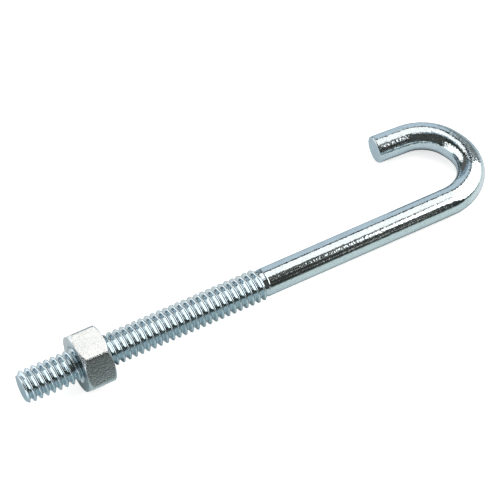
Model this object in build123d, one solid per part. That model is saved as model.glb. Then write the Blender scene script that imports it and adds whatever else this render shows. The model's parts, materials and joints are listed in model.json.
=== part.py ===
from build123d import *
import math
import os

# J bolt: a round rod with a rolled right-hand thread on one end, a hook bent on
# the other, and a hex nut on the thread. Millimetres, +Z up. It lies on the
# floor at Z = 0, thread end towards -X, hook opening towards -X on the +Y side.
# The thread is drawn as V notches round the rod at its pitch, without the helix.

# Rod
overall_length = 101.6        # thread end to the outside of the hook, 4 in
thread_major = 6.28           # over the crests, 1/4 in size
thread_pitch = 1.27           # 20 turns to the inch
thread_angle = 60.0           # between the flanks
thread_depth = 0.62           # of the notches, which stop short of the rolled root
thread_length = 49.4          # to the foot of the run-out
runout_turns = 1.2            # the last crest sinks to the bare rod over at least this many turns
end_chamfer = 0.61            # radial, down to the end face

# The blank is rolled, so the bare rod has the thread's pitch diameter.
rod_diameter = thread_major - 0.65 * thread_pitch

# Hook: three tangent arcs of the rod's centre line, then a short straight leg
bend_radius = 9.2
bend_angle = 102.6
easing_radius = 16.4
easing_angle = 9.1
curl_radius = 8.05
curl_angle = 65.0
tip_leg = 6.3
tip_rounding = 0.35

# Hex nut, 7/16 in wrench size
nut_across_flats = 10.75
nut_thickness = 5.56
nut_corner_rounding = 0.8
nut_chamfer_angle = 42.0      # of the corner chamfer, from the nut's face
nut_clearance = 0.05          # radial, bore over thread crests
nut_countersink = 0.45        # radial width of the bore's lead-in
nut_from_end = 10.9           # thread end to the nut's outer face
nut_turn = 9.3                # lean of the upper flat out of the hook's plane

# Derived
rod_radius = rod_diameter / 2
crest_radius = thread_major / 2
notch_half_width = thread_depth * math.tan(math.radians(thread_angle / 2))
first_notch = end_chamfer + thread_pitch / 2
notch_count = int((thread_length - first_notch) / thread_pitch + 0.5 - runout_turns)
straight_length = overall_length - bend_radius - rod_radius
nut_corner_radius = nut_across_flats / math.sqrt(3)
nut_chamfer_drop = (nut_corner_radius - nut_across_flats / 2) * math.tan(math.radians(nut_chamfer_angle))
nut_bore_radius = crest_radius + nut_clearance


def thread_notch(middle):
    """Corners of one notch of the thread, down one flank and up the other."""
    return [
        (middle - notch_half_width, crest_radius),
        (middle, crest_radius - thread_depth),
        (middle + notch_half_width, crest_radius),
    ]


def threaded_end():
    """Chamfered end, the thread's notches, and the run-out down to the bare rod."""
    corners = [(0, 0), (0, crest_radius - end_chamfer), (end_chamfer, crest_radius)]
    for turn in range(notch_count):
        corners += thread_notch(first_notch + turn * thread_pitch)
    last_crest = first_notch + (notch_count - 0.5) * thread_pitch
    corners += [(last_crest, crest_radius), (thread_length, rod_radius), (thread_length, 0)]
    return revolve(make_face(Polyline(*corners, close=True)), Axis.X)


def hook_route():
    """Centre line from the thread's run-out, round the hook, to its tip."""
    shank = Line((thread_length, 0), (straight_length, 0))
    bend = JernArc(shank @ 1, shank % 1, bend_radius, bend_angle)
    easing = JernArc(bend @ 1, bend % 1, easing_radius, easing_angle)
    curl = JernArc(easing @ 1, easing % 1, curl_radius, curl_angle)
    leg = Line(curl @ 1, curl @ 1 + tip_leg * (curl % 1))
    return shank + bend + easing + curl + leg


def bent_shank():
    """Bare rod swept round the hook, with the cut edge of its tip rounded."""
    route = hook_route()
    section = Plane(origin=route @ 0, z_dir=route % 0) * Circle(rod_radius)
    shank = sweep(section, path=route)
    tip = shank.faces().sort_by_distance(route @ 1)[0]
    return fillet(tip.edges(), tip_rounding)


def nut_blank():
    """Hexagon with rounded corners, chamfered on both faces, standing on Z = 0."""
    hexagon = RegularPolygon(nut_corner_radius, 6, rotation=30)
    hexagon = fillet(hexagon.vertices(), nut_corner_rounding)
    face_radius = nut_across_flats / 2
    envelope = Polyline(
        (0, 0),
        (face_radius, 0),
        (nut_corner_radius, nut_chamfer_drop),
        (nut_corner_radius, nut_thickness - nut_chamfer_drop),
        (face_radius, nut_thickness),
        (0, nut_thickness),
        close=True,
    )
    return extrude(hexagon, nut_thickness) & revolve(Plane.XZ * make_face(envelope), Axis.Z)


def nut_bore():
    """Bore over the thread crests, countersunk at both faces."""
    mouth_radius = nut_bore_radius + nut_countersink
    profile = Polyline(
        (0, 0),
        (mouth_radius, 0),
        (nut_bore_radius, nut_countersink),
        (nut_bore_radius, nut_thickness - nut_countersink),
        (mouth_radius, nut_thickness),
        (0, nut_thickness),
        close=True,
    )
    return revolve(Plane.XZ * make_face(profile), Axis.Z)


def hex_nut():
    """The nut in its place on the thread."""
    return Pos(nut_from_end, 0, 0) * Rot(nut_turn, 0, 0) * Rot(0, 90, 0) * (nut_blank() - nut_bore())


def at_rest(pieces):
    """Lean the bolt down from the nut to the hook, and set it centred on the floor."""
    nut_edge = nut_from_end + nut_thickness - nut_chamfer_drop
    round_centre = nut_corner_radius - nut_corner_rounding / math.cos(math.radians(30))
    nut_drop = round_centre * math.cos(math.radians(30 - nut_turn)) + nut_corner_rounding
    span = straight_length + bend_radius - nut_edge
    tilt = math.atan2(nut_drop, span) - math.asin(rod_radius / math.hypot(span, nut_drop))
    leaning = [Rot(0, math.degrees(tilt), 0) * piece for piece in pieces]
    box = Compound(leaning).bounding_box()
    centre = box.center()
    return [Pos(-centre.X, -centre.Y, -box.min.Z) * piece for piece in leaning]


os.makedirs("parts", exist_ok=True)
rod, nut = at_rest([threaded_end() + bent_shank(), hex_nut()])
export_step(rod, "parts/hook_rod.step")
export_step(nut, "parts/hex_nut.step")
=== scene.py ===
import json
import math
import bpy
from mathutils import Matrix, Vector


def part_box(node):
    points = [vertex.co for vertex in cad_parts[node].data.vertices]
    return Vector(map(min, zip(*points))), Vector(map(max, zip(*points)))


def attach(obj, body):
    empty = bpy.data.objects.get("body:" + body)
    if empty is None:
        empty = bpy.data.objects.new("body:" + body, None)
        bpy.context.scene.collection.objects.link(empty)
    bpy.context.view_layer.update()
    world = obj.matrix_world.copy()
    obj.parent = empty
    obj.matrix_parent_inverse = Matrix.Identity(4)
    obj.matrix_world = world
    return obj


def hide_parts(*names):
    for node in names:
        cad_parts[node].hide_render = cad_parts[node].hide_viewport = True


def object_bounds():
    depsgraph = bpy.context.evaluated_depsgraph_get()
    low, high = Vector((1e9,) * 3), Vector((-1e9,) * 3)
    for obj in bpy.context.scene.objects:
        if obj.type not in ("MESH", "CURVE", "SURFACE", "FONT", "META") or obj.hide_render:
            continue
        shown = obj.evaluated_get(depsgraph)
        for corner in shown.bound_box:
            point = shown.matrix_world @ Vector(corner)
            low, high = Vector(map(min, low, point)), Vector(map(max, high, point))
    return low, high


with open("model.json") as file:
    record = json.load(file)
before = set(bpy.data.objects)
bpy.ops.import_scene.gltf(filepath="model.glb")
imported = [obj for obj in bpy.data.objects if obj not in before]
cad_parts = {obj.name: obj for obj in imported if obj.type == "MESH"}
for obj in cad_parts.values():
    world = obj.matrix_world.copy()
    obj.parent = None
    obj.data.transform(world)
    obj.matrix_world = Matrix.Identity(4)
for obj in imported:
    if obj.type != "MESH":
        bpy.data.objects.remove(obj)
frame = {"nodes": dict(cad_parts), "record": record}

# J bolt with a hex nut. Metres, in the row frame. The rod is rebuilt here with its
# rolled thread, and the nut gets its inner thread; the nut's body is the CAD node.

CAD_BOX = [list(corner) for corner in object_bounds()]
MM = 0.001

# Rod, in the sizes of the CAD
ROD_LENGTH = 101.6 * MM
CREST_RADIUS = 3.14 * MM
PITCH = 1.27 * MM
ROD_RADIUS = CREST_RADIUS - 0.325 * PITCH
THREAD_LENGTH = 49.4 * MM
THREAD_STOP = THREAD_LENGTH - 0.45 * PITCH    # the helix has run out here
ROOT_RISE = 0.5 * PITCH       # over this length the root rises to the last taper
CREST_SINK = 0.35 * PITCH     # and over this one the crests sink to the bare rod
RIDGE_PLACE = THREAD_LENGTH + 0.2 * PITCH     # a last taper leads up to a fine ridge here
TAPER_DEPTH = 0.12 * MM
RIDGE = 0.05 * MM
RIDGE_HALF = 0.12 * MM        # half the ridge's width
END_DISH = 0.10 * MM          # the thread's end face is slightly hollow
END_CHAMFER = 0.61 * MM
BENDS = ((9.2 * MM, 102.6), (16.4 * MM, 9.1), (8.05 * MM, 65.0))
TIP_LEG = 6.3 * MM
TIP_ROUNDING = 0.35 * MM

# Rolled thread: 60 degrees between its flanks, rounded at crest and root
CREST_ROUND = 0.18 * MM
ROOT_ROUND = 0.14 * MM
FLANK = math.radians(60)      # slope of a flank, from the rod's axis
FIRST_CREST = 0.60            # turns from the rod's end to the first crest, on the +Y side

# Nut and its thread
NUT_THICKNESS = 5.56 * MM
NUT_COUNTERSINK = 0.3 * MM
NUT_BORE_RADIUS = CREST_RADIUS + 0.05 * MM
NUT_THREAD_GAP = 0.04 * MM
NUT_THREAD_WALL = 0.05 * MM   # how far the sleeve reaches into the nut
NUT_THREAD_SINK = 0.005 * MM  # its roots stop this far short of the bore wall
NUT_LEAD_IN = 0.5 * MM
NUT_LEAD_DEPTH = 0.62         # deepest the thread can reach into the bore, in pitches

# Mesh fineness
STEPS_PER_PITCH = 20
STEPS_ROUND = 72
SHANK_STEP = 1.5 * MM
BEND_STEP = 0.5 * MM
TAPER_STEPS = 5               # rings per pitch on the last taper
RIDGE_STEPS = 2               # rings per half of the ridge
RIDGE_REACH = 1.5             # how far the ridge's fine rings go on past it, in halves of it
RIM_STEPS = 6                 # rings on the rounded rim of the hook's end
END_RINGS = (0.02, 0.25, 0.5, 0.75, 0.94)     # rings on the thread's end face, of its radius
TIP_RINGS = (0.96, 0.5, 0.02)                 # and on the hook's


# ---------------------------------------------------------------- geometry

def bolt_frame():
    """Matrix from the bolt's own frame (X along the rod from its thread end) to the row frame."""
    mount = next(m for m in frame["record"]["mounts"] if m["name"] == "thread_end")
    along = -Vector(mount["axis"]).normalized()
    across = Vector((0, 1, 0))
    place = Matrix((along, across, along.cross(across))).transposed().to_4x4()
    place.translation = Vector(mount["pos_m"])
    return place


def route_runs():
    """(length, curvature) of each run of the rod's centre line, from the thread end to the tip."""
    straight = ROD_LENGTH - BENDS[0][0] - ROD_RADIUS
    bends = [(radius * math.radians(angle), 1 / radius) for radius, angle in BENDS]
    return [(straight, 0.0), *bends, (TIP_LEG, 0.0)]


def on_route(distance):
    """x, y and heading of the centre line at a distance from the thread end."""
    x = y = heading = 0.0
    for length, curvature in route_runs():
        step = min(distance, length)
        turned = heading + step * curvature
        if curvature:
            x += (math.sin(turned) - math.sin(heading)) / curvature
            y -= (math.cos(turned) - math.cos(heading)) / curvature
        else:
            x += step * math.cos(heading)
            y += step * math.sin(heading)
        heading = turned
        distance -= step
        if distance <= 0:
            break
    return x, y, heading


def smooth(low, high, value):
    """0 below low, 1 above high, an even curve between."""
    t = min(max((value - low) / (high - low), 0.0), 1.0)
    return t * t * (3 - 2 * t)


def thread_drop(turns):
    """Depth of the thread form below its crest; turns counts pitches from a crest."""
    away = abs(turns - round(turns)) * PITCH
    crest_end = CREST_ROUND * math.sin(FLANK)
    root_start = PITCH / 2 - ROOT_ROUND * math.sin(FLANK)
    crest_drop = CREST_ROUND * (1 - math.cos(FLANK))
    if away <= crest_end:
        return CREST_ROUND - math.sqrt(CREST_ROUND ** 2 - away ** 2)
    if away <= root_start:
        return crest_drop + (away - crest_end) * math.tan(FLANK)
    root_drop = ROOT_ROUND * (1 - math.cos(FLANK))
    floor = crest_drop + (root_start - crest_end) * math.tan(FLANK) + root_drop
    return floor - ROOT_ROUND + math.sqrt(ROOT_ROUND ** 2 - (PITCH / 2 - away) ** 2)


def thread_radius(along, angle):
    """Radius of the endless thread; right hand, so a crest moves along +X as the angle grows."""
    return CREST_RADIUS - thread_drop(along / PITCH - angle / math.tau - FIRST_CREST)


def thread_end_radius(along, radius):
    """The thread's radius where it runs out: crests sink and the root rises to the last taper."""
    sunk = smooth(THREAD_STOP - CREST_SINK, THREAD_STOP, along)
    risen = smooth(THREAD_STOP - ROOT_RISE, THREAD_STOP, along)
    crest = CREST_RADIUS + (ROD_RADIUS - CREST_RADIUS) * sunk
    root = CREST_RADIUS - thread_drop(0.5)
    root += (ROD_RADIUS - TAPER_DEPTH - root) * risen
    return max(min(radius, crest), root)


def rod_radius(along, angle, length):
    """Radius of the rod's skin: chamfered end, thread, last taper and ridge, shank, rounded tip."""
    if along < THREAD_STOP:
        radius = thread_end_radius(along, thread_radius(along, angle))
        return min(radius, CREST_RADIUS - END_CHAMFER + along)
    ridge = RIDGE * max(0.0, 1 - abs(along - RIDGE_PLACE) / RIDGE_HALF)
    if along < RIDGE_PLACE:
        taper = TAPER_DEPTH * (RIDGE_PLACE - along) / (RIDGE_PLACE - THREAD_STOP)
        return ROD_RADIUS - taper + ridge
    left = length - along
    if left < TIP_ROUNDING:
        rim = math.sqrt(TIP_ROUNDING ** 2 - (TIP_ROUNDING - left) ** 2)
        return ROD_RADIUS - TIP_ROUNDING + rim
    return ROD_RADIUS + ridge


def stations(length):
    """Distances along the rod at which its skin has a ring of points."""
    marks = []
    straight = route_runs()[0][0]
    ridge_ends = RIDGE_PLACE - RIDGE_HALF, RIDGE_PLACE + RIDGE_REACH * RIDGE_HALF
    stretches = (
        (0.0, THREAD_STOP, PITCH / STEPS_PER_PITCH),
        (THREAD_STOP, ridge_ends[0], PITCH / TAPER_STEPS),
        (*ridge_ends, RIDGE_HALF / RIDGE_STEPS),
        (ridge_ends[1], straight, SHANK_STEP),
        (straight, length - TIP_ROUNDING, BEND_STEP),
        (length - TIP_ROUNDING, length, TIP_ROUNDING / RIM_STEPS),
    )
    for start, end, step in stretches:
        count = math.ceil((end - start) / step)
        marks += [start + (end - start) * i / count for i in range(count)]
    return marks + [length]


def grid_faces(rings, closed):
    """Quads between rings of STEPS_ROUND points; closed joins the last ring to the first."""
    faces = []
    for ring in range(rings if closed else rings - 1):
        here = ring * STEPS_ROUND
        there = (ring + 1) % rings * STEPS_ROUND
        for i in range(STEPS_ROUND):
            j = (i + 1) % STEPS_ROUND
            faces.append((here + i, here + j, there + j, there + i))
    return faces


def mesh_object(name, points, faces, place, stretched):
    """Smooth mesh object in the row frame; stretched keeps each point's place on the unbent rod."""
    mesh = bpy.data.meshes.new(name)
    mesh.from_pydata([place @ p for p in points], [], faces)
    mesh.attributes.new("unbent", "FLOAT_VECTOR", "POINT")
    mesh.attributes["unbent"].data.foreach_set("vector", [c for p in stretched for c in p])
    mesh.polygons.foreach_set("use_smooth", [True] * len(mesh.polygons))
    mesh.update()
    piece = bpy.data.objects.new(name, mesh)
    bpy.context.collection.objects.link(piece)
    return piece


def build_rod(place):
    """The whole rod as one skin: chamfered and slightly hollow end, thread, shank, hook, tip."""
    length = sum(run for run, curvature in route_runs())
    points, stretched = [], []

    def ring(along, scale=1.0, inward=0.0):
        x, y, heading = on_route(along)
        centre = Vector((x + inward * math.cos(heading), y + inward * math.sin(heading), 0))
        side = Vector((-math.sin(heading), math.cos(heading), 0))
        for i in range(STEPS_ROUND):
            angle = math.tau * i / STEPS_ROUND
            radius = rod_radius(along, angle, length) * scale
            offset = (radius * math.cos(angle), radius * math.sin(angle))
            points.append(centre + side * offset[0] + Vector((0, 0, offset[1])))
            stretched.append((along + inward, *offset))

    for scale in END_RINGS:
        ring(0.0, scale, END_DISH * (1 - scale ** 2))
    for along in stations(length):
        ring(along)
    for scale in TIP_RINGS:
        ring(length, scale)
    faces = grid_faces(len(points) // STEPS_ROUND, closed=False)
    last = len(points) - STEPS_ROUND
    faces.append(tuple(reversed(range(STEPS_ROUND))))
    faces.append(tuple(range(last, last + STEPS_ROUND)))
    return mesh_object("hook_rod_skin", points, faces, place, stretched)


def build_nut_thread(place):
    """Thread inside the nut: a sleeve set in its bore, with the rod's own form a small gap away."""
    low, high = nut_span(place)
    steps = math.ceil((high - low) / PITCH * STEPS_PER_PITCH)
    wall = NUT_BORE_RADIUS + NUT_THREAD_WALL
    points = []

    def ring(along, radius_at):
        for i in range(STEPS_ROUND):
            angle = math.tau * i / STEPS_ROUND
            radius = radius_at(along, angle)
            points.append(Vector((along, radius * math.cos(angle), radius * math.sin(angle))))

    def inner(along, angle):
        edge = min(along - low, high - along)
        opened = NUT_BORE_RADIUS - smooth(0, NUT_LEAD_IN, edge) * PITCH * NUT_LEAD_DEPTH
        form = thread_radius(along, angle) + NUT_THREAD_GAP
        return min(max(form, opened), NUT_BORE_RADIUS - NUT_THREAD_SINK)

    for i in range(steps + 1):
        ring(low + (high - low) * i / steps, inner)
    for along in (high, low):
        ring(along, lambda along, angle: wall)
    rings = len(points) // STEPS_ROUND
    faces = [tuple(reversed(face)) for face in grid_faces(rings, closed=True)]
    return mesh_object("nut_thread", points, faces, place, points)


def nut_span(place):
    """Where the nut's bore wall starts and ends along the rod, inside its countersinks."""
    middle = (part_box("hex_nut")[0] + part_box("hex_nut")[1]) / 2
    centre = (place.inverted() @ Vector(middle)).x
    half = NUT_THICKNESS / 2 - NUT_COUNTERSINK
    return centre - half, centre + half


# ---------------------------------------------------------------- materials

def add_node(tree, kind, **values):
    """Adds a node; plain names set its properties, and names of sockets set or link its inputs."""
    node = tree.nodes.new(kind)
    for name, value in values.items():
        if name.startswith("in_"):
            key = name[3:]
            socket = node.inputs[int(key) if key.isdigit() else key.replace("_", " ")]
            if isinstance(value, bpy.types.NodeSocket):
                tree.links.new(value, socket)
            else:
                socket.default_value = value
        else:
            setattr(node, name, value)
    return node


def new_material(name):
    """Empty node material with its output node."""
    material = bpy.data.materials.new(name)
    material.use_nodes = True
    material.node_tree.nodes.clear()
    tree = material.node_tree
    return material, tree, add_node(tree, "ShaderNodeOutputMaterial")


def scaled(tree, vector, size):
    """Vector divided by a size on each axis, so that one texture unit is that long."""
    inverse = [1 / s for s in size]
    return add_node(
        tree, "ShaderNodeVectorMath", operation="MULTIPLY", in_0=vector, in_1=inverse
    ).outputs[0]


def noise(tree, vector, size, detail=2.0, roughness=0.5):
    """Noise whose blotches are about as big as size, in metres along each axis."""
    place = scaled(tree, vector, size)
    return add_node(
        tree, "ShaderNodeTexNoise", in_Vector=place, in_Scale=1.0,
        in_Detail=detail, in_Roughness=roughness,
    ).outputs["Fac"]


def ramp(tree, value, low, high, to_low=0.0, to_high=1.0):
    """Maps low..high to to_low..to_high, clamped."""
    return add_node(
        tree, "ShaderNodeMapRange", in_Value=value, in_1=low, in_2=high, in_3=to_low, in_4=to_high
    ).outputs[0]


def blend_colour(tree, factor, first, second):
    """First colour at 0, second at 1."""
    node = add_node(tree, "ShaderNodeMix", data_type="RGBA")
    for index, value in ((0, factor), (6, first), (7, second)):
        if isinstance(value, bpy.types.NodeSocket):
            tree.links.new(value, node.inputs[index])
        else:
            node.inputs[index].default_value = value
    return node.outputs[2]


def math_node(tree, operation, first, second):
    """Result of an operation on two values or sockets."""
    return add_node(tree, "ShaderNodeMath", operation=operation, in_0=first, in_1=second).outputs[0]


ROD_TINT = (0.60, 0.70, 0.745, 1)
NUT_TINT = (0.66, 0.72, 0.735, 1)
DULL = (0.32, 0.36, 0.37, 1)
GRAZING = (0.70, 0.75, 0.80, 1)      # seen along the surface, where plate looks darker

# Size of the grain on each axis, its relief, and how rough the plate is
ROD_PLATE = ((0.5 * MM, 0.34 * MM, 0.34 * MM), 0.026 * MM, 0.04)
NUT_THREAD_PLATE = ((0.3 * MM,) * 3, 0.01 * MM, 0.1)
NUT_PLATE = ((0.28 * MM,) * 3, 0.055 * MM, 0.2)
STRAIGHT_RELIEF = 0.6                # share of the relief left where the rod isn't bent
BEND_FADE = 4 * MM                   # the relief grows over this length each side of the bend

# Dull patches and specks: their size, the noise at which they start and are full, how dull
PATCH_SIZE = 2.6 * MM
PATCH_NOISE = (0.40, 0.65)
PATCH_DULL = 0.12
SPECK_SIZE = 0.7                     # of the grain's size
SPECK_NOISE = 0.14                   # over this much noise a speck reaches its full dullness
SPECK_DULL = 0.6
SPECKLED = 0.42                      # a higher value spreads the specks
NUT_SPECKLED = 0.45
DULL_ROUGHNESS = 0.3                 # what full dullness adds to the roughness
NUT_RIM = 0.25 * MM                  # the nut's edges look this rounded
RIM_SAMPLES = 4


def zinc(name, source, tint, plate_form, speckled=SPECKLED, rim=0.0):
    """Bright zinc plate: a grainy mirror with dull patches and specks."""
    grain, relief, roughness = plate_form
    material, tree, output = new_material(name)
    if source == "unbent":
        place = add_node(tree, "ShaderNodeAttribute", attribute_name="unbent").outputs["Vector"]
    else:
        place = add_node(tree, "ShaderNodeTexCoord").outputs["Object"]
    patches = noise(tree, place, (PATCH_SIZE,) * 3, detail=3.0)
    grains = noise(tree, place, grain, detail=1.0)
    speck_sizes = tuple(SPECK_SIZE * size for size in grain)
    specks = noise(tree, place, speck_sizes, detail=2.0, roughness=0.6)
    spotted = ramp(tree, specks, 1 - speckled, 1 - speckled + SPECK_NOISE, 0.0, SPECK_DULL)
    clouded = ramp(tree, patches, *PATCH_NOISE, 0.0, PATCH_DULL)
    dulled = math_node(tree, "ADD", clouded, spotted)
    plate = blend_colour(tree, dulled, tint, DULL)
    bump = add_node(tree, "ShaderNodeBump", in_Strength=1.0, in_Distance=relief, in_Height=grains)
    if source == "unbent":
        along = add_node(tree, "ShaderNodeSeparateXYZ", in_0=place).outputs[0]
        bend = route_runs()[0][0]
        strength = ramp(tree, along, bend - BEND_FADE, bend + BEND_FADE, STRAIGHT_RELIEF, 1.0)
        tree.links.new(strength, bump.inputs["Strength"])
    if rim:
        soft_edge = add_node(tree, "ShaderNodeBevel", samples=RIM_SAMPLES, in_Radius=rim)
        tree.links.new(soft_edge.outputs[0], bump.inputs["Normal"])
    matt = math_node(tree, "ADD", roughness, math_node(tree, "MULTIPLY", dulled, DULL_ROUGHNESS))
    shader = add_node(
        tree, "ShaderNodeBsdfPrincipled", in_Base_Color=plate, in_Metallic=1.0,
        in_Specular_Tint=GRAZING, in_Roughness=matt, in_Normal=bump.outputs[0],
    )
    tree.links.new(shader.outputs[0], output.inputs[0])
    return material


# ---------------------------------------------------------------- studio

FLOOR_SIZE = 6.0
FLOOR_DROP = 0.02 * MM        # the floor lies this far below the model
FLOOR_WHITE = (0.9, 0.9, 0.9, 1)
FLOOR_LIFT = 0.7              # glow that brings the lit floor up to white
FLOOR_FRONT = -0.030          # the floor's painted reflection is pale behind this Y, and dark before it
# Painted reflection: colours the floor glows in for the metal only; past the end and in the hook
# brighter than white
FLOOR_BY_THREAD = (0.56, 0.65, 0.66, 1)
FLOOR_BY_HOOK = (0.80, 0.87, 0.84, 1)
FLOOR_BEHIND_THREAD = (1.0, 0.98, 0.95, 1)
FLOOR_BEHIND_HOOK = (0.71, 0.77, 0.79, 1)
FLOOR_FORE = (0.28, 0.30, 0.28, 1)
FLOOR_PAST_END = (1.4, 1.42, 1.5, 1)
FLOOR_IN_HOOK = (1.15, 1.12, 1.08, 1)
HOOK_MIDDLE = (0.055, -0.004, 0.0)
ROOM_DARK = (0.040, 0.046, 0.040, 1)
CONTACT_REACH = 5 * MM        # the floor's painted reflection gets painted shade this near to the metal
CONTACT_FADE = (0.3, 0.65)    # openness at which it is dark, and at which it isn't
CONTACT_SAMPLES = 8

# Where one colour of the floor's painted reflection goes over into the next, in metres along X,
# along Y or from a point
THREAD_TO_HOOK = (-0.012, 0.008)
NEAR_TO_FAR = (-0.004, 0.006)
FORE_TO_DARK = (-0.034, -0.065)
FRONT_EDGE = (FLOOR_FRONT + 0.003, FLOOR_FRONT - 0.004)
TO_PAST_END = (-0.054, -0.064)
INTO_HOOK = (0.014, 0.008)

# Cards of the light tent. A corner is where it stands in the sky: degrees from overhead
# toward +X and toward +Y. Cards on a greater radius stand behind the others.
GAP_RADIUS = 0.9
TENT_RADIUS = 1.0
BACK_RADIUS = 1.1
ROOM_RADIUS = 1.2
NEARLY_OVERHEAD = 0.001       # degrees; no place is taken as nearer to overhead than this
TOP_CARD = (
    (-6, 41), (8, 43), (15, 40), (20, 30), (30, 29), (40, 0), (30, -12), (22, -16),
    (8, -15), (-6, -8),
)
TOP_FRINGE = ((-12, 36), (-6, 38), (-6, -8), (-10, -18), (-15, -8))
FRONT_STRIP = ((-6, -15), (14, -15), (12, -24), (-6, -24))
RIGHT_CARD = (
    (30, 34), (50, 25), (92, 16), (92, -30), (75, -44), (62, -56), (45, -58), (33, -52),
    (25, -44), (23, -32), (27, -20), (30, -8),
)
LEFT_CARD = ((-92, 14), (-45, 15), (-36, 30), (-24, 45), (-15, 60), (-22, 72), (-45, 82))
BACK_CARD = ((15, 92), (15, 41.5), (28, 37), (40, 42), (52, 50), (52, 80), (40, 92))
BACK_HAZE = ((4, 92), (4, 52), (15, 46), (15, 92))
BACK_DIM = ((-20, 86), (-15, 50), (4, 46), (4, 90))
BACK_CORNER = ((28, 37), (50, 27), (92, 18), (80, 52), (52, 80), (52, 50), (40, 42))
TOP_GAP = ((15, 42), (26, 39), (36, 33), (28, 30.5), (19, 31.5))
FRONT_FOIL = ((8, -50), (29, -50), (34, -84), (18, -84), (6, -60))
TOP_FOIL = ((14, -14), (29, -12), (29, -50), (8, -50), (10, -35))
ROOM_FOIL = (
    (-8, -12), (12, -26), (8, -60), (18, -84), (-30, -80), (-70, -45), (-75, 0),
    (-45, 12), (-18, 20),
)

# Glow of the plain cards: colour and strength
TOP_WHITE = ((1, 0.92, 0.87), 1.6)
FRINGE_BLUE = ((0.33, 0.41, 0.49), 1.0)
STRIP_WHITE = ((0.95, 0.92, 0.98), 1.0)
RIGHT_WHITE = ((1, 0.96, 0.93), 3.0)
LEFT_WHITE = ((1, 0.95, 0.90), 1.8)
BACKDROP_BLUE = ((0.72, 0.80, 0.86), 1.0)
BACKDROP_DUSK = ((0.30, 0.37, 0.44), 1.0)
BACKDROP_BROWN = ((0.16, 0.145, 0.13), 1.0)
GAP_DARK = ((0.03, 0.035, 0.04), 1.0)

# Creased foil: dark and bright colour, and the limit, which leaves less of it bright as it grows
FOIL_CREASE = 0.05            # size of a blotch
FOIL_EDGE = 0.04              # the blotches' edges are this soft
FOIL_DARK = (0.045, 0.045, 0.04)
FOIL_BRIGHT = (1.2, 1.15, 1.05)
FRONT_FOIL_LOOK = (FOIL_DARK, FOIL_BRIGHT, 0.66)
TOP_FOIL_LOOK = (FOIL_DARK, FOIL_BRIGHT, 0.615)
CORNER_FOIL_LOOK = ((0.12, 0.12, 0.11), (0.52, 0.54, 0.53), 0.5)
ROOM_FOIL_LOOK = (FOIL_DARK, (0.20, 0.20, 0.18), 0.56)


def glow(name, colour, strength):
    """Material that only shines."""
    material, tree, output = new_material(name)
    shader = add_node(tree, "ShaderNodeEmission", in_Color=(*colour, 1), in_Strength=strength)
    tree.links.new(shader.outputs[0], output.inputs[0])
    return material


def floor_material():
    """White to the camera, with a shadow; painted reflection for the metal, pale near, dark in
    front.
    """
    material, tree, output = new_material("studio_floor")
    path = add_node(tree, "ShaderNodeLightPath")
    white = add_node(tree, "ShaderNodeBsdfDiffuse", in_Color=FLOOR_WHITE)
    lift = add_node(tree, "ShaderNodeEmission", in_Color=(1, 1, 1, 1), in_Strength=FLOOR_LIFT)
    seen = add_node(tree, "ShaderNodeAddShader", in_0=white.outputs[0], in_1=lift.outputs[0])
    place = add_node(tree, "ShaderNodeNewGeometry").outputs["Position"]
    split = add_node(tree, "ShaderNodeSeparateXYZ", in_0=place).outputs
    hookward = ramp(tree, split[0], *THREAD_TO_HOOK)
    near_side = blend_colour(tree, hookward, FLOOR_BY_THREAD, FLOOR_BY_HOOK)
    far_side = blend_colour(tree, hookward, FLOOR_BEHIND_THREAD, FLOOR_BEHIND_HOOK)
    pale = blend_colour(tree, ramp(tree, split[1], *NEAR_TO_FAR), near_side, far_side)
    fore = blend_colour(tree, ramp(tree, split[1], *FORE_TO_DARK), FLOOR_FORE, ROOM_DARK)
    pale = blend_colour(tree, ramp(tree, split[1], *FRONT_EDGE), pale, fore)
    pale = blend_colour(tree, ramp(tree, split[0], *TO_PAST_END), pale, FLOOR_PAST_END)
    away = add_node(
        tree, "ShaderNodeVectorMath", operation="DISTANCE", in_0=place, in_1=HOOK_MIDDLE
    ).outputs["Value"]
    pale = blend_colour(tree, ramp(tree, away, *INTO_HOOK), pale, FLOOR_IN_HOOK)
    # painted shade: ambient occlusion darkens the reflected floor near the metal
    near = add_node(
        tree, "ShaderNodeAmbientOcclusion", samples=CONTACT_SAMPLES, in_Distance=CONTACT_REACH
    ).outputs["AO"]
    pale = blend_colour(tree, ramp(tree, near, *CONTACT_FADE), ROOM_DARK, pale)
    # painted reflection: the floor glows in these colours for glossy rays only
    painted_reflection = add_node(tree, "ShaderNodeEmission", in_Color=pale)
    choice = add_node(
        tree, "ShaderNodeMixShader", in_0=path.outputs["Is Glossy Ray"],
        in_1=seen.outputs[0], in_2=painted_reflection.outputs[0],
    )
    tree.links.new(choice.outputs[0], output.inputs[0])
    return material


def toward(right, back, distance):
    """Point at a distance from the bolt, so many degrees from overhead toward +X and toward +Y."""
    leaning = max(math.hypot(right, back), NEARLY_OVERHEAD)
    side = math.sin(math.radians(leaning)) / leaning
    return Vector((right * side, back * side, math.cos(math.radians(leaning)))) * distance


def tent_card(name, corners, material, distance=TENT_RADIUS):
    """Card whose corners stand in the given places of the sky; a fan of flat panels."""
    points = [toward(right, back, distance) for right, back in corners]
    middle = toward(*(sum(c[i] for c in corners) / len(corners) for i in (0, 1)), distance)
    mesh = bpy.data.meshes.new(name)
    count = len(points)
    mesh.from_pydata([*points, middle], [], [(i, (i + 1) % count, count) for i in range(count)])
    mesh.materials.append(material)
    card = bpy.data.objects.new(name, mesh)
    bpy.context.collection.objects.link(card)


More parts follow.
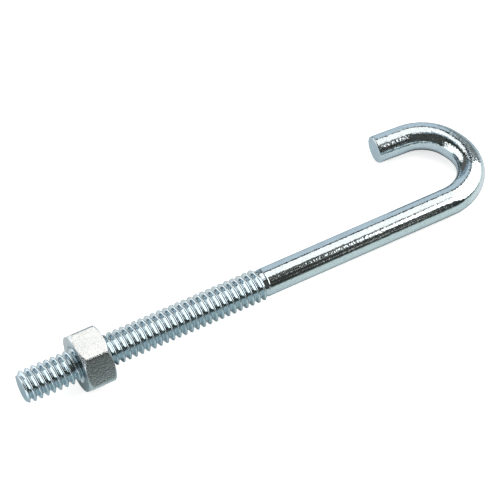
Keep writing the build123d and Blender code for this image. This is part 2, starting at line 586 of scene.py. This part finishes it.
def creased_foil(name, low, high, limit):
    """Glow in blotches like creased foil; a higher limit leaves fewer of them bright."""
    material, tree, output = new_material(name)
    place = add_node(tree, "ShaderNodeNewGeometry").outputs["Position"]
    blotches = noise(tree, place, (FOIL_CREASE,) * 3)
    lit = ramp(tree, blotches, limit - FOIL_EDGE, limit + FOIL_EDGE)
    colour = blend_colour(tree, lit, (*low, 1), (*high, 1))
    shader = add_node(tree, "ShaderNodeEmission", in_Color=colour)
    tree.links.new(shader.outputs[0], output.inputs[0])
    return material


def build_studio():
    """Floor, light tent and dark room."""
    mesh = bpy.data.meshes.new("floor")
    h = FLOOR_SIZE / 2
    mesh.from_pydata([(-h, -h, 0), (h, -h, 0), (h, h, 0), (-h, h, 0)], [], [(0, 1, 2, 3)])
    mesh.materials.append(floor_material())
    floor = bpy.data.objects.new("floor", mesh)
    floor.location.z = CAD_BOX[0][2] - FLOOR_DROP
    bpy.context.collection.objects.link(floor)
    tent_card("tent_top", TOP_CARD, glow("top_white", *TOP_WHITE))
    tent_card("tent_fringe", TOP_FRINGE, glow("fringe_blue", *FRINGE_BLUE))
    tent_card("tent_strip", FRONT_STRIP, glow("strip_white", *STRIP_WHITE))
    tent_card("tent_right", RIGHT_CARD, glow("right_white", *RIGHT_WHITE))
    tent_card("tent_left", LEFT_CARD, glow("left_white", *LEFT_WHITE))
    tent_card("backdrop", BACK_CARD, glow("backdrop_blue", *BACKDROP_BLUE), BACK_RADIUS)
    tent_card("backdrop_haze", BACK_HAZE, glow("backdrop_dusk", *BACKDROP_DUSK), BACK_RADIUS)
    tent_card("backdrop_dim", BACK_DIM, glow("backdrop_brown", *BACKDROP_BROWN), BACK_RADIUS)
    tent_card("top_gap", TOP_GAP, glow("gap_dark", *GAP_DARK), GAP_RADIUS)
    tent_card("front_foil", FRONT_FOIL, creased_foil("front_foil", *FRONT_FOIL_LOOK), BACK_RADIUS)
    tent_card("top_foil", TOP_FOIL, creased_foil("top_foil", *TOP_FOIL_LOOK), BACK_RADIUS)
    corner = creased_foil("corner_foil", *CORNER_FOIL_LOOK)
    tent_card("backdrop_corner", BACK_CORNER, corner, BACK_RADIUS)
    tent_card("room_foil", ROOM_FOIL, creased_foil("room_foil", *ROOM_FOIL_LOOK), ROOM_RADIUS)
    world = bpy.data.worlds.new("studio")
    world.use_nodes = True
    world.node_tree.nodes["Background"].inputs[0].default_value = ROOM_DARK
    bpy.context.scene.world = world


# Camera, from the middle of the model's foot; angles in degrees
CAMERA_AIM = (1.0 * MM, 1.6 * MM, 3.11 * MM)
CAMERA_AZIMUTH = -23.97
CAMERA_ELEVATION = 48.705
CAMERA_ROLL = 6.248
CAMERA_DISTANCE = 446.27 * MM
CAMERA_LENS = 170.67
CAMERA_SENSOR = 36
CAMERA_CLIP = 0.01


def build_camera():
    """Camera at a distance from its aim, turned about its own axis by the roll."""
    data = bpy.data.cameras.new("camera")
    data.lens = CAMERA_LENS
    data.sensor_width = CAMERA_SENSOR
    data.clip_start = CAMERA_CLIP
    camera = bpy.data.objects.new("camera", data)
    bpy.context.collection.objects.link(camera)
    low, high = CAD_BOX
    middle = Vector(((low[0] + high[0]) / 2, (low[1] + high[1]) / 2, low[2]))
    a, e = math.radians(CAMERA_AZIMUTH), math.radians(CAMERA_ELEVATION)
    back = Vector((math.sin(a) * math.cos(e), -math.cos(a) * math.cos(e), math.sin(e)))
    camera.location = middle + Vector(CAMERA_AIM) + back * CAMERA_DISTANCE
    camera.rotation_mode = "QUATERNION"
    level = (-back).to_track_quat("-Z", "Y")
    roll = Matrix.Rotation(math.radians(-CAMERA_ROLL), 3, "Z")
    camera.rotation_quaternion = level @ roll.to_quaternion()
    bpy.context.scene.camera = camera


# ---------------------------------------------------------------- scene

def main():
    """The rod, the nut and its thread, then the studio and the camera."""
    place = bolt_frame()
    rod = build_rod(place)
    rod.data.materials.append(zinc("zinc_rod", "unbent", ROD_TINT, ROD_PLATE))
    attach(rod, "bolt")
    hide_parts("hook_rod")

    inner = build_nut_thread(place)
    inner.data.materials.append(zinc("zinc_nut_thread", "unbent", NUT_TINT, NUT_THREAD_PLATE))
    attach(inner, "nut")

    nut_zinc = zinc("zinc_nut", "object", NUT_TINT, NUT_PLATE, NUT_SPECKLED, NUT_RIM)
    nut = frame["nodes"]["hex_nut"]
    for material_slot in nut.material_slots:
        material_slot.link = "OBJECT"
        material_slot.material = nut_zinc

    build_studio()
    build_camera()
    bpy.context.scene.view_settings.view_transform = "Standard"


main()
